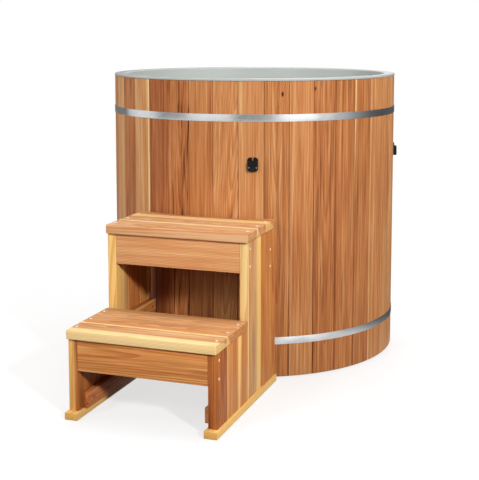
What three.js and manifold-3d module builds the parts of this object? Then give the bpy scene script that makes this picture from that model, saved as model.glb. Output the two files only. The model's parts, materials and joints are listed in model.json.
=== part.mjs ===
// Cold plunge tub: a cedar stave barrel with a moulded liner, hoops, cover clips and a floor drain,
// and the free-standing cedar step in front of it. Millimetres, +Z up.
// The barrel's axis is Z, the floor is z = 0 and the step stands on the -Y side.
// Angles round the barrel are measured from -Y towards +X.
import * as THREE from 'three';
import { mergeVertices } from 'three/addons/utils/BufferGeometryUtils.js';
import Module from 'manifold-3d';

const wasm = await Module();
wasm.setup();

// Fits
const fit = 0.3; // gap between pieces that touch
const ballGap = 0.8; // running gap round the valve's ball
const cutPast = 1; // a cut runs this far past the face it opens, and a join this far into its neighbour
const mergeDistance = 1e-4; // corners closer than this are one

// Barrel
const overallHeight = 1031;
const outerRadius = 530;
const staveCount = 38;
const stavesPerPanel = 2;
const facesPerStave = 2;
const staveThickness = 22;
const staveBottom = 4; // the staves stop short of the floor
const seamChamfer = 1.2;
const seamTurn = -1.3; // degrees from the drain's line to the middle of the stave at the back

// Base
const bearerHeight = 58;
const bearerWidth = 45;
const bearerDrainGap = 54; // outer bearer to the drain's riser
const bearerEndGap = 4; // end of a bearer to the staves
const deckThickness = 28;
const crozeDepth = 8; // how far the deck's edge sits in the staves

// Liner and insulation
const rimWidth = 38; // from the opening out to the staves' face
const rimOverhang = 1; // rim past the staves
const rimThickness = 8;
const rimOuterRound = 2;
const rimInnerRound = 6;
const linerWall = 5;
const linerDraft = 12; // radius lost from the rim down to the floor
const linerFillet = 60; // inside corner at the floor

// Hoops and their closing bolts
const hoopWidth = 25;
const hoopThickness = 1.5;
const upperHoopDrop = 132; // middle of the hoop below the rim
const lowerHoopRise = 132; // middle of the hoop above the floor
const clampStave = 5; // stave at the closing bolts, counted from the back
const clampPlateThickness = 2.5;
const clampPlateLength = 34;
const clampPlateHeel = 14; // from the plate's middle to its upright ear
const clampEarThickness = 4;
const clampEarHeight = 24;
const clampBoltRadius = 4;
const clampBoltRise = 15; // bolt's axis out from the hoop
const clampBoltTail = 18; // bolt past the ear at its nut
const clampNutRadius = 7;
const clampNutThickness = 6;
const clampNutSink = 0.5; // nut and head let into the slanted ears

// Cover clips: name and stave, counted from the back
const clips = [['front', -17], ['right', -8], ['back', 1], ['left', 10]];
const clipTurn = 0.65; // degrees from the stave's middle
const clipWidth = 36;
const clipHeight = 47;
const clipBodyHeight = 35.5; // the thick part, below the notched plate
const clipThickness = 12.5;
const clipPlateThickness = 3.5; // also the wall behind the slot
const clipCorner = 9;
const clipEase = 2;
const clipDrop = 288; // middle of the clip below the rim
const notchWidth = 5.5;
const notchDepth = 11;
const slotWidth = 18;
const slotDepth = 18; // from the top of the thick part
const slotGap = 6.5; // the slot's size out from the barrel
const lockRadius = 4.5;
const lockLength = 9;
const lockProud = 1;
const lockRise = 10; // lock's axis above the clip's foot
const keyWayWidth = 1.2;
const keyWayLength = 5.5;
const keyWayDepth = 3;

// Floor drain and its valve
const drainFloorGap = 6; // drain's flange to the floor's rounded corner
const drainBore = 14;
const drainTailRadius = 19;
const drainFlangeRadius = 34;
const drainFlangeThickness = 4;
const drainFlangeEase = 1.5;
const drainTailReach = 12; // tail below the deck
const pipeDeckGap = 5; // pipe below the bearers' top
const pipeRadius = 18;
const pipeBore = 12;
const riserWall = 5;
const riserFoot = 20; // bottom of the riser below the pipe's axis
const pipeProud = 14; // pipe past the staves
const valveStandOff = 3; // valve to the staves
const valveSocketWall = 6;
const valveWall = 7; // round the ball
const ballRadius = 16;
const ballSeat = 12; // end of the pipe to the ball's surface
const valveOutletRadius = 18;
const valveOutletLength = 22;
const valveNeckRadius = 10;
const valveNeckRise = 34; // top of the neck above the pipe's axis
const stemRadius = 6;
const leverLength = 70;
const leverHeel = 9;
const leverWidth = 16;
const leverThickness = 6;

// Step
const stepGap = 8; // back of the upper tread to the barrel, at the middle
const treadArcRelief = 306; // radius of the tread's hollow back over the barrel's radius
const treadWidth = 492;
const treadThickness = 30;
const treadEase = 3;
const boardPitch = 93;
const backBoardDepth = 59; // upper back board at its narrowest
const boardsPerTread = 3;
const lowerTreadTop = 283;
const stepRise = 278;
const treadOverhang = 13;
const treadBackGap = 11; // lower tread to the tall panels behind it
const panelThickness = 30;
const panelInset = 1; // panel inside the tread's end
const panelBackReach = 6; // panel past the tread's back corner
const panelBoards = 3;
const boardGroove = 1.5;
const apronHeight = 100;
const apronThickness = 30;
const backRailThickness = 28;
const backRailDrop = 42; // back rail below the upper tread
const footRailWidth = 43;
const footRailHeight = 23.5;
const footRailProud = 20; // foot rail past the panel's front
const footRailEase = 4;
const cleatThickness = 22;
const cleatHeight = 48;
const lowCleatRise = 4; // bottom cleat above the foot rail
const cleatBackGap = 13; // cleat short of the panel's back

// Facet counts of round pieces
const barrelSegments = staveCount * facesPerStave;
const pipeSegments = 16;
const nutSides = 6;
const treadArcSteps = 12;
const filletSteps = 4;
const roundSteps = 2;
const clipCornerSteps = 3;

// Levels and radii that several pieces share
const stavePitch = 2 * Math.PI / staveCount;
const seamAngle = THREE.MathUtils.degToRad(seamTurn);
const clipAngle = THREE.MathUtils.degToRad(clipTurn);
const facetTilt = Math.PI / barrelSegments; // middle of a facet of the barrel from its corner
const staveTop = overallHeight - rimThickness - fit;
const staveInner = outerRadius - staveThickness;
const hoopOuter = outerRadius + fit + hoopThickness;
const deckBottom = bearerHeight + fit;
const deckTop = deckBottom + deckThickness;
const linerBottom = deckTop + fit;
const linerFloor = linerBottom + linerWall;
const rimBottom = overallHeight - rimThickness;
const openingRadius = outerRadius - rimWidth;
const footRadius = openingRadius - linerDraft;
const drainOffset = footRadius - linerFillet - drainFloorGap - drainFlangeRadius;
const riserRadius = drainTailRadius + fit + riserWall;
const pipeHeight = bearerHeight - pipeDeckGap - pipeRadius;
const bearerSpacing = drainOffset - riserRadius - bearerDrainGap - bearerWidth / 2;
const pipeEnd = outerRadius + pipeProud;
const ballCentre = pipeEnd + ballSeat + ballRadius;

const cedar = new THREE.MeshStandardMaterial({ color: 0xbe7d4b, roughness: 0.6, metalness: 0 });
const paleCedar = new THREE.MeshStandardMaterial({ color: 0xe0b57a, roughness: 0.6, metalness: 0 });
const linerGrey = new THREE.MeshStandardMaterial({ color: 0xc3c8c8, roughness: 0.45, metalness: 0 });
const foam = new THREE.MeshStandardMaterial({ color: 0xe6dfc2, roughness: 0.9, metalness: 0 });
const steel = new THREE.MeshStandardMaterial({ color: 0xb8bcbe, roughness: 0.35, metalness: 1 });
const blackPlastic = new THREE.MeshStandardMaterial({ color: 0x151515, roughness: 0.4, metalness: 0 });
const lockSteel = new THREE.MeshStandardMaterial({ color: 0x3a3b3d, roughness: 0.3, metalness: 1 });
const pipePlastic = new THREE.MeshStandardMaterial({ color: 0xd8d8d4, roughness: 0.5, metalness: 0 });

// Closed geometry to a solid, and back
function toSolid(geometry) {
  const bare = geometry.clone();
  bare.deleteAttribute('normal');
  bare.deleteAttribute('uv');
  const merged = mergeVertices(bare, mergeDistance);
  const vertProperties = new Float32Array(merged.attributes.position.array);
  const triVerts = new Uint32Array(merged.index.array);
  return new wasm.Manifold(new wasm.Mesh({ numProp: 3, vertProperties, triVerts }));
}

function toGeometry(solid) {
  const mesh = solid.getMesh();
  const geometry = new THREE.BufferGeometry();
  geometry.setAttribute('position', new THREE.BufferAttribute(mesh.vertProperties, 3));
  geometry.setIndex(new THREE.BufferAttribute(mesh.triVerts, 1));
  geometry.computeVertexNormals();
  return geometry;
}

function join(...geometries) {
  return toGeometry(geometries.map(toSolid).reduce((whole, next) => whole.add(next)));
}

function cut(geometry, ...tools) {
  return toGeometry(tools.map(toSolid).reduce((left, tool) => left.subtract(tool), toSolid(geometry)));
}

function addPiece(group, name, geometry, material) {
  const mesh = new THREE.Mesh(geometry, material);
  mesh.name = name;
  group.add(mesh);
}

function turnedGroup(parent, angle) {
  const group = new THREE.Group();
  group.rotation.z = angle;
  parent.add(group);
  return group;
}

// Ring or bowl from a profile of [radius, z] points, counter-clockwise with the radius to the right.
// Its corners are in line with the staves'.
function turned(profile, segments = barrelSegments) {
  const points = profile.map(([radius, z]) => new THREE.Vector2(radius, z));
  return new THREE.LatheGeometry(points, segments, seamAngle).rotateX(Math.PI / 2);
}

function ring(inside, outside, bottom, top) {
  return turned([[inside, bottom], [outside, bottom], [outside, top], [inside, top], [inside, bottom]]);
}

// Round bars between two places on an axis
function uprightBar(radius, bottom, top, segments = pipeSegments) {
  const bar = new THREE.CylinderGeometry(radius, radius, top - bottom, segments);
  return bar.rotateX(Math.PI / 2).translate(0, 0, (bottom + top) / 2);
}

function barAlongY(radius, from, to, segments = pipeSegments) {
  return new THREE.CylinderGeometry(radius, radius, to - from, segments).translate(0, (from + to) / 2, 0);
}

function barAlongX(radius, from, to, segments) {
  const bar = new THREE.CylinderGeometry(radius, radius, to - from, segments);
  return bar.rotateZ(Math.PI / 2).translate((from + to) / 2, 0, 0);
}

function block(xFrom, xTo, yFrom, yTo, zFrom, zTo) {
  const box = new THREE.BoxGeometry(xTo - xFrom, yTo - yFrom, zTo - zFrom);
  return box.translate((xFrom + xTo) / 2, (yFrom + yTo) / 2, (zFrom + zTo) / 2);
}

// Plan outline raised from one level to another, with its top and bottom edges eased
function raised(outline, bottom, top, ease = 0) {
  const shape = new THREE.Shape(outline.map(([x, y]) => new THREE.Vector2(x, y)));
  const geometry = new THREE.ExtrudeGeometry(shape, {
    depth: top - bottom - 2 * ease,
    bevelEnabled: ease > 0,
    bevelThickness: ease,
    bevelSize: ease,
    bevelOffset: -ease,
    bevelSegments: 1,
  });
  return geometry.translate(0, 0, bottom + ease);
}

function onBarrel(radius, angle) {
  return [radius * Math.sin(angle), -radius * Math.cos(angle)];
}

function staveAngle(index) {
  return Math.PI + index * stavePitch + seamAngle;
}

// Points of a quarter round about a centre, counter-clockwise from an angle
function quarter(centreX, centreZ, round, fromAngle, steps = roundSteps) {
  return Array.from({ length: steps + 1 }, (_, step) => {
    const angle = fromAngle + (step / steps) * Math.PI / 2;
    return [centreX + round * Math.cos(angle), centreZ + round * Math.sin(angle)];
  });
}

// Staves, joined in panels: a shallow groove shows each seam inside a panel
function stavePanelOutline(firstStave) {
  const edgeTrim = fit / 2 / outerRadius;
  const chamferAngle = seamChamfer / outerRadius;
  const outside = [];
  const inside = [];
  for (let stave = firstStave; stave < firstStave + stavesPerPanel; stave += 1) {
    const from = staveAngle(stave - 0.5) + edgeTrim;
    const to = staveAngle(stave + 0.5) - edgeTrim;
    const turn = (share) => from + share * (to - from);
    outside.push(onBarrel(outerRadius - seamChamfer, from));
    for (let face = 0; face <= facesPerStave; face += 1) {
      const angle = turn(face / facesPerStave);
      const eased = Math.min(Math.max(angle, from + chamferAngle), to - chamferAngle);
      outside.push(onBarrel(outerRadius, eased));
      inside.push(onBarrel(staveInner, angle));
    }
    outside.push(onBarrel(outerRadius - seamChamfer, to));
  }
  return [...outside, ...inside.reverse()];
}

function addStaves(tub) {
  const croze = ring(staveInner - crozeDepth, staveInner + crozeDepth, deckBottom - fit, deckTop + fit);
  const pipeHole = barAlongY(pipeRadius + fit, 0, pipeEnd).translate(0, 0, pipeHeight);
  for (let panel = 0; panel < staveCount / stavesPerPanel; panel += 1) {
    const blank = raised(stavePanelOutline(panel * stavesPerPanel), staveBottom, staveTop);
    const name = `stave_panel_${String(panel + 1).padStart(2, '0')}`;
    addPiece(tub, name, cut(blank, croze, pipeHole), cedar);
  }
}

function addBase(tub) {
  const drainHole = uprightBar(drainTailRadius + fit, deckBottom - cutPast, deckTop + cutPast);
  drainHole.translate(0, drainOffset, 0);
  const deck = uprightBar(staveInner + crozeDepth - fit, deckBottom, deckTop, barrelSegments)
    .rotateZ(seamAngle);
  addPiece(tub, 'floor_deck', cut(deck, drainHole), cedar);
  [['front', -1], ['centre', 0], ['back', 1]].forEach(([place, side]) => {
    const middle = side * bearerSpacing;
    const farEdge = Math.abs(middle) + bearerWidth / 2;
    const reach = Math.sqrt(staveInner ** 2 - farEdge ** 2) - bearerEndGap;
    const bearer = block(-reach, reach, middle - bearerWidth / 2, middle + bearerWidth / 2, 0, bearerHeight);
    addPiece(tub, `bearer_${place}`, bearer, cedar);
  });
}

function addLiner(tub) {
  const rimRadius = outerRadius + rimOverhang;
  const filletRadius = footRadius - linerFillet;
  const filletLevel = linerFloor + linerFillet;
  const corner = (round) => quarter(filletRadius, filletLevel, round, -Math.PI / 2, filletSteps);
  const profile = [
    [0, linerBottom],
    ...corner(linerFillet + linerWall),
    [openingRadius + linerWall, rimBottom],
    [rimRadius, rimBottom],
    ...quarter(rimRadius - rimOuterRound, overallHeight - rimOuterRound, rimOuterRound, 0),
    ...quarter(openingRadius + rimInnerRound, overallHeight - rimInnerRound, rimInnerRound, Math.PI / 2),
    ...corner(linerFillet).reverse(),
    [0, linerFloor],
  ];
  const drainHole = uprightBar(drainTailRadius + fit, linerBottom - cutPast, linerFloor + cutPast);
  addPiece(tub, 'liner', cut(turned(profile), drainHole.translate(0, drainOffset, 0)), linerGrey);
}

function addInsulation(tub) {
  const jacket = turned([
    [footRadius + linerWall + fit, deckTop + fit],
    [staveInner - fit, deckTop + fit],
    [staveInner - fit, rimBottom - fit],
    [openingRadius + linerWall + fit, rimBottom - fit],
    [footRadius + linerWall + fit, linerBottom + linerFillet + linerWall],
    [footRadius + linerWall + fit, deckTop + fit],
  ]);
  addPiece(tub, 'insulation_jacket', jacket, foam);
}

// One riveted end of a hoop: a plate on the band and an upright ear that the bolt passes through
function clampEar(side) {
  const seat = hoopOuter + fit;
  const onPlate = (from, to, height) => {
    const [xFrom, xTo] = side > 0 ? [from, to] : [-to, -from];
    return block(xFrom, xTo, -seat - height, -seat, -hoopWidth / 2, hoopWidth / 2);
  };
  const plate = onPlate(-clampPlateHeel, clampPlateLength - clampPlateHeel, clampPlateThickness);
  const ear = onPlate(-clampPlateHeel, clampEarThickness - clampPlateHeel, clampEarHeight);
  return join(plate, ear).rotateZ(side * facetTilt);
}

// Closing bolt of a hoop, drawn up between the two ears
function hoopClamp() {
  const earFace = (hoopOuter + clampBoltRise) * Math.sin(facetTilt) + clampEarThickness - clampPlateHeel;
  const bolt = (radius, from, to, sides) => (
    barAlongX(radius, from, to, sides).translate(0, -hoopOuter - clampBoltRise, 0));
  return join(
    clampEar(1),
    clampEar(-1),
    bolt(clampBoltRadius, -earFace, earFace + clampBoltTail, pipeSegments),
    bolt(clampNutRadius, earFace - clampNutSink, earFace + clampNutThickness, nutSides),
    bolt(clampNutRadius, -earFace - clampNutThickness, clampNutSink - earFace, nutSides),
  );
}

function addHoops(tub) {
  const levels = [['upper', overallHeight - upperHoopDrop], ['lower', lowerHoopRise]];
  const clamp = hoopClamp();
  levels.forEach(([place, level]) => {
    const band = ring(outerRadius + fit, hoopOuter, level - hoopWidth / 2, level + hoopWidth / 2);
    addPiece(tub, `${place}_hoop`, band, steel);
    const seat = turnedGroup(tub, staveAngle(clampStave));
    addPiece(seat, `${place}_hoop_clamp`, clamp.clone().translate(0, 0, level), steel);
  });
}

// Rounded outline of a clip seen from outside, middle of the foot at the origin
function clipOutline(height) {
  const half = clipWidth / 2;
  const corner = (x, z, fromAngle) => quarter(x, z, clipCorner, fromAngle, clipCornerSteps);
  return [
    ...corner(half - clipCorner, clipCorner, -Math.PI / 2),
    ...corner(half - clipCorner, height - clipCorner, 0),
    ...corner(clipCorner - half, height - clipCorner, Math.PI / 2),
    ...corner(clipCorner - half, clipCorner, Math.PI),
  ];
}

// Round-ended notch in the top edge of the clip's back plate
function clipNotch(back, top) {
  const half = notchWidth / 2;
  const floor = top - notchDepth + half;
  const front = back - clipPlateThickness - cutPast;
  return join(
    barAlongY(half, front, back + cutPast).translate(0, 0, floor),
    block(-half, half, front, back + cutPast, floor, top + cutPast),
  );
}

function addClips(tub) {
  const back = -outerRadius - fit;
  const front = back - clipThickness;
  const foot = overallHeight - clipDrop - clipHeight / 2;
  const bodyTop = foot + clipBodyHeight;
  const lockLevel = foot + lockRise;
  const lockInner = front - lockProud + lockLength;
  const slotBack = back - clipPlateThickness;
  const onBack = (height, thickness, ease) => (
    raised(clipOutline(height), 0, thickness, ease).rotateX(Math.PI / 2).translate(0, back, foot));
  const blank = join(onBack(clipHeight, clipPlateThickness), onBack(clipBodyHeight, clipThickness, clipEase));
  const slot = block(-slotWidth / 2, slotWidth / 2, slotBack - slotGap, slotBack,
    bodyTop - slotDepth, bodyTop + cutPast);
  const lockBore = barAlongY(lockRadius + fit, front - cutPast, lockInner + fit).translate(0, 0, lockLevel);
  const body = cut(blank, slot, lockBore, clipNotch(back, foot + clipHeight));
  const lockFace = front - lockProud;
  const plug = barAlongY(lockRadius, lockFace, lockInner).translate(0, 0, lockLevel);
  const keyWay = block(-keyWayWidth / 2, keyWayWidth / 2, lockFace - cutPast, lockFace + keyWayDepth,
    lockLevel - keyWayLength / 2, lockLevel + keyWayLength / 2);
  const lock = cut(plug, keyWay);
  clips.forEach(([place, stave]) => {
    const seat = turnedGroup(tub, staveAngle(stave) + clipAngle);
    addPiece(seat, `cover_clip_${place}`, body.clone(), blackPlastic);
    addPiece(seat, `clip_lock_${place}`, lock.clone(), lockSteel);
  });
}

// Floor fitting, and the elbow pipe under the deck and through the staves
function addDrain(tub) {
  const tailFoot = deckBottom - drainTailReach;
  const flangeTop = linerFloor + fit + drainFlangeThickness;
  const fitting = turned([
    [drainBore, tailFoot],
    [drainTailRadius, tailFoot],
    [drainTailRadius, linerFloor + fit],
    [drainFlangeRadius, linerFloor + fit],
    [drainFlangeRadius, flangeTop - drainFlangeEase],
    [drainFlangeRadius - drainFlangeEase, flangeTop],
    [drainBore, flangeTop],
    [drainBore, tailFoot],
  ], pipeSegments).translate(0, drainOffset, 0);
  addPiece(tub, 'drain_fitting', fitting, pipePlastic);

  const atDrain = (geometry) => geometry.translate(0, drainOffset, 0);
  const pipe = cut(
    join(
      atDrain(uprightBar(riserRadius, pipeHeight - riserFoot, deckBottom - fit)),
      atPipe(barAlongY(pipeRadius, drainOffset, pipeEnd)),
    ),
    atDrain(uprightBar(drainTailRadius + fit, tailFoot - fit, deckBottom)),
    atDrain(uprightBar(pipeBore, pipeHeight, deckBottom)),
    atPipe(barAlongY(pipeBore, drainOffset, pipeEnd + cutPast)),
  );
  addPiece(tub, 'drain_pipe', pipe, pipePlastic);
}

function atPipe(geometry) {
  return geometry.translate(0, 0, pipeHeight);
}

function atBall(geometry) {
  return geometry.translate(0, ballCentre, 0);
}

function ballShape(radius) {
  const ball = new THREE.SphereGeometry(radius, pipeSegments, pipeSegments / 2).rotateX(Math.PI / 2);
  return atPipe(atBall(ball));
}

// Ball valve on the end of the drain pipe: at rest it is shut, with its lever and bore across the pipe
function addValve(tub) {
  const neckTop = pipeHeight + valveNeckRise;
  const inletFace = outerRadius + valveStandOff;
  const housingRadius = ballRadius + ballGap + valveWall;
  const shoulder = ballCentre + housingRadius;
  const outletFace = shoulder + valveOutletLength;
  const valve = cut(
    join(
      atPipe(barAlongY(pipeRadius + valveSocketWall, inletFace, pipeEnd + valveSocketWall)),
      atPipe(barAlongY(housingRadius, pipeEnd, shoulder)),
      atPipe(barAlongY(valveOutletRadius, shoulder - cutPast, outletFace)),
      atBall(uprightBar(valveNeckRadius, pipeHeight, neckTop)),
    ),
    atPipe(barAlongY(pipeRadius + fit, inletFace - cutPast, pipeEnd + fit)),
    atPipe(barAlongY(pipeBore, pipeEnd, outletFace + cutPast)),
    ballShape(ballRadius + ballGap),
    atBall(uprightBar(stemRadius + fit, pipeHeight, neckTop + cutPast)),
  );
  addPiece(tub, 'drain_valve_body', valve, pipePlastic);

  const leverFoot = neckTop + fit;
  const leverTop = leverFoot + leverThickness;
  const lever = cut(
    join(
      ballShape(ballRadius),
      atBall(uprightBar(stemRadius, pipeHeight, leverFoot + cutPast)),
      atBall(block(-leverHeel, leverLength, -leverWidth / 2, leverWidth / 2, leverFoot, leverTop)),
    ),
    atPipe(atBall(barAlongX(pipeBore, -ballRadius - cutPast, ballRadius + cutPast, pipeSegments))),
  );
  addPiece(tub, 'drain_valve_lever', lever, blackPlastic);
}

// The step's own frame: its origin is the middle of the upper tread's back edge, on the floor
const stepHalf = treadWidth / 2;
const upperFront = -(boardPitch * (boardsPerTread - 1) + backBoardDepth);
const tallFront = upperFront + treadOverhang;
const lowerBack = tallFront - treadBackGap;
const lowerFront = lowerBack - boardsPerTread * boardPitch;
const upperTreadTop = lowerTreadTop + stepRise;
const shortFront = lowerFront + treadOverhang;
const lowerSeat = lowerTreadTop - treadThickness - fit;
const upperSeat = upperTreadTop - treadThickness - fit;
const panelOuter = stepHalf - panelInset;
const panelInner = panelOuter - panelThickness;
const panelBack = treadBack(stepHalf) + panelBackReach;
const panelFoot = footRailHeight + fit;

// Hollow back edge of the upper tread
function treadBack(across) {
  const radius = outerRadius + treadArcRelief;
  return radius - Math.sqrt(radius ** 2 - across ** 2);
}

function addTread(step, place, front, top, backEdge) {
  ['front', 'middle', 'back'].forEach((row, index) => {
    const near = front + index * boardPitch + (index > 0 ? fit : 0);
    const far = front + (index + 1) * boardPitch;
    const farEdge = row === 'back' ? backEdge : [[stepHalf, far], [-stepHalf, far]];
    const outline = [[-stepHalf, near], [stepHalf, near], ...farEdge];
    const board = raised(outline, top - treadThickness, top, treadEase);
    addPiece(step, `step_${place}_tread_${row}`, board, cedar);
  });
}

// Side panel of upright boards: plan outline with a groove at each board joint, inside and out
function panelOutline(front, back) {
  const joints = Array.from({ length: panelBoards - 1 }, (_, joint) => (
    front + (joint + 1) * (back - front) / panelBoards));
  const face = (x, inward) => joints.flatMap((y) => [
    [x, y - boardGroove],
    [x + inward * boardGroove, y],
    [x, y + boardGroove],
  ]);
  return [
    [panelOuter, front],
    ...face(panelOuter, -1),
    [panelOuter, back],
    [panelInner, back],
    ...face(panelInner, 1).reverse(),
    [panelInner, front],
  ];
}

function addStepSide(step, place, side) {
  const acrossFrom = (inner, outer) => (side > 0 ? [inner, outer] : [-outer, -inner]);
  const mirrored = (outline) => (side > 0 ? outline : outline.map(([x, y]) => [-x, y]).reverse());
  const panel = (front, back, top) => raised(mirrored(panelOutline(front, back)), panelFoot, top);
  addPiece(step, `step_${place}_tall_panel`, panel(tallFront, panelBack, upperSeat), cedar);
  addPiece(step, `step_${place}_short_panel`, panel(shortFront, tallFront - fit, lowerSeat), cedar);
  const railMiddle = (panelOuter + panelInner) / 2;
  const [railFrom, railTo] = acrossFrom(railMiddle - footRailWidth / 2, railMiddle + footRailWidth / 2);
  const railFront = shortFront - footRailProud;
  const railSide = [
    [railFront, 0],
    [panelBack, 0],
    [panelBack, footRailHeight],
    [railFront + footRailEase, footRailHeight],
    [railFront, footRailHeight - footRailEase],
  ];
  const rail = raised(railSide, railFrom, railTo).rotateX(Math.PI / 2).rotateZ(Math.PI / 2);
  addPiece(step, `step_${place}_foot_rail`, rail, paleCedar);
  const [cleatFrom, cleatTo] = acrossFrom(panelInner - fit - cleatThickness, panelInner - fit);
  const cleatFront = shortFront + apronThickness + fit;
  const cleatBack = panelBack - cleatBackGap;
  [['low', footRailHeight + lowCleatRise], ['middle', lowerSeat - cleatHeight]].forEach(([level, foot]) => {
    const cleat = block(cleatFrom, cleatTo, cleatFront, cleatBack, foot, foot + cleatHeight);
    addPiece(step, `step_${place}_${level}_cleat`, cleat, paleCedar);
  });
}

function addStep(parent) {
  const step = new THREE.Group();
  step.position.y = -outerRadius - stepGap;
  parent.add(step);
  const hollowEdge = Array.from({ length: treadArcSteps + 1 }, (_, index) => {
    const across = stepHalf - index * treadWidth / treadArcSteps;
    return [across, treadBack(across)];
  });
  addTread(step, 'lower', lowerFront, lowerTreadTop, [[stepHalf, lowerBack], [-stepHalf, lowerBack]]);
  addTread(step, 'upper', upperFront, upperTreadTop, hollowEdge);
  addStepSide(step, 'left', -1);
  addStepSide(step, 'right', 1);
  const span = panelInner - fit;
  const crossBoard = (front, thickness, top) => (
    block(-span, span, front, front + thickness, top - apronHeight, top));
  addPiece(step, 'step_lower_apron', crossBoard(shortFront, apronThickness, lowerSeat), cedar);
  addPiece(step, 'step_upper_apron', crossBoard(tallFront, apronThickness, upperSeat), cedar);
  const backRailTop = upperSeat - backRailDrop;
  addPiece(step, 'step_back_rail', crossBoard(-backRailThickness, backRailThickness, backRailTop), cedar);
}

const plungeTub = new THREE.Group();
addStaves(plungeTub);
addBase(plungeTub);
addLiner(plungeTub);
addInsulation(plungeTub);
addHoops(plungeTub);
addClips(plungeTub);
addDrain(plungeTub);
addValve(plungeTub);
addStep(plungeTub);

export default plungeTub;
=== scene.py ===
import json
import math
import random

import bmesh
import bpy
from mathutils import Matrix, Vector


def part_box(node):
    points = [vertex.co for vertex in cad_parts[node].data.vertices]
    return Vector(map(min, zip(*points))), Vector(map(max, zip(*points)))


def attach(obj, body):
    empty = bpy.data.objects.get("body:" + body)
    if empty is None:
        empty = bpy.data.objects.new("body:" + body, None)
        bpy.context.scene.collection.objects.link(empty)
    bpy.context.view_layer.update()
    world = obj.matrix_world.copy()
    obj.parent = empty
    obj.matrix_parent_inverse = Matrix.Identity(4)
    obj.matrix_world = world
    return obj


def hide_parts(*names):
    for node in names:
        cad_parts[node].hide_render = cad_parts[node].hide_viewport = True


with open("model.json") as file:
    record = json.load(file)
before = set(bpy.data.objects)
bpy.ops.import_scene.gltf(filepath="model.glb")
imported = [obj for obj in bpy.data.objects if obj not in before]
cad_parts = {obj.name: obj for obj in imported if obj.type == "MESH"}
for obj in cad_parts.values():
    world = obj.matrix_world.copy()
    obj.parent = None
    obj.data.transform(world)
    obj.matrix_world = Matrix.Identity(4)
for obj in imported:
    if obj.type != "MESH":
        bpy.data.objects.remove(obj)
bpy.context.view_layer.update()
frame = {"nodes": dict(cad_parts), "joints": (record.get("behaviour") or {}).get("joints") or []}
print("frame loaded:", len(frame["nodes"]), "nodes")

origin = (0, 0, 0)
upAxis = (0, 0, 1)
joints = {joint["name"]: joint for joint in frame["joints"]}


# Colours are picked as screen values from 0 to 255, and shaders take linear ones
def paint(red, green, blue):
    def linear(value):
        value /= 255
        return value / 12.92 if value <= 0.04045 else ((value + 0.055) / 1.055) ** 2.4
    return (linear(red), linear(green), linear(blue), 1)


# Mesh helpers

def boxBlank(low, high):
    bm = bmesh.new()
    bmesh.ops.create_cube(bm, size=1)
    bmesh.ops.scale(bm, vec=high - low, verts=bm.verts)
    bmesh.ops.translate(bm, vec=(low + high) / 2, verts=bm.verts)
    return bm


def rounded(bm, edges, size, segments=2):
    bmesh.ops.bevel(bm, geom=edges, offset=size, offset_type="OFFSET", affect="EDGES",
                    segments=segments, profile=0.5, material=-1, clamp_overlap=True)
    return bm


# A flat outline of (x, z) points with some corners rounded: corner number to (radius, segments)
def outlineFace(points, corners=None):
    bm = bmesh.new()
    verts = [bm.verts.new((x, 0, z)) for x, z in points]
    bm.faces.new(verts)
    for number, (size, segments) in (corners or {}).items():
        bmesh.ops.bevel(bm, geom=[verts[number]], offset=size, offset_type="OFFSET", affect="VERTICES",
                        segments=segments, profile=0.5, material=-1, clamp_overlap=False)
    return bm


# Turns an outline right round an upright axis, where x is the radius
def turned(points, steps, corners=None):
    bm = outlineFace(points, corners)
    bmesh.ops.delete(bm, geom=bm.faces[:], context="FACES_ONLY")
    onAxis = [e for e in bm.edges if all(abs(v.co.x) < 1e-7 for v in e.verts)]
    bmesh.ops.delete(bm, geom=onAxis, context="EDGES")
    bmesh.ops.spin(bm, geom=bm.verts[:] + bm.edges[:], cent=origin, axis=upAxis,
                   angle=math.tau, steps=steps, use_merge=True)
    bmesh.ops.remove_doubles(bm, verts=bm.verts, dist=1e-6)
    bmesh.ops.recalc_face_normals(bm, faces=bm.faces)
    return bm


def pushedOut(bm, vec):
    grown = bmesh.ops.extrude_face_region(bm, geom=bm.faces[:])["geom"]
    bmesh.ops.translate(bm, vec=vec, verts=[v for v in grown if isinstance(v, bmesh.types.BMVert)])
    bmesh.ops.recalc_face_normals(bm, faces=bm.faces)
    return bm


def moved(bm, *matrices):
    for matrix in matrices:
        bmesh.ops.transform(bm, matrix=matrix, verts=bm.verts)
    return bm


def cylinder(radius, low, high, segments):
    bm = bmesh.new()
    bmesh.ops.create_cone(bm, cap_ends=True, segments=segments, radius1=radius, radius2=radius, depth=high - low)
    bmesh.ops.translate(bm, vec=(0, 0, (low + high) / 2), verts=bm.verts)
    return bm


def looseObject(bm):
    mesh = bpy.data.meshes.new("loose")
    bm.to_mesh(mesh)
    bm.free()
    loose = bpy.data.objects.new("loose", mesh)
    bpy.context.scene.collection.objects.link(loose)
    return loose


# Cuts or joins closed blanks, for holes that the other operators can't make
def carved(bm, *tools, operation="DIFFERENCE"):
    blank = looseObject(bm)
    cutters = [looseObject(tool) for tool in tools]
    for cutter in cutters:
        step = blank.modifiers.new("carve", "BOOLEAN")
        step.operation = operation
        step.solver = "EXACT"
        step.object = cutter
    done = bmesh.new()
    done.from_object(blank, bpy.context.evaluated_depsgraph_get())
    for used in (blank, *cutters):
        bpy.data.objects.remove(used)
    return done


def gathered(*shapes):
    whole = bmesh.new()
    for shape in shapes:
        mesh = bpy.data.meshes.new("loose")
        shape.to_mesh(mesh)
        shape.free()
        whole.from_mesh(mesh)
        bpy.data.meshes.remove(mesh)
    return whole


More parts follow.
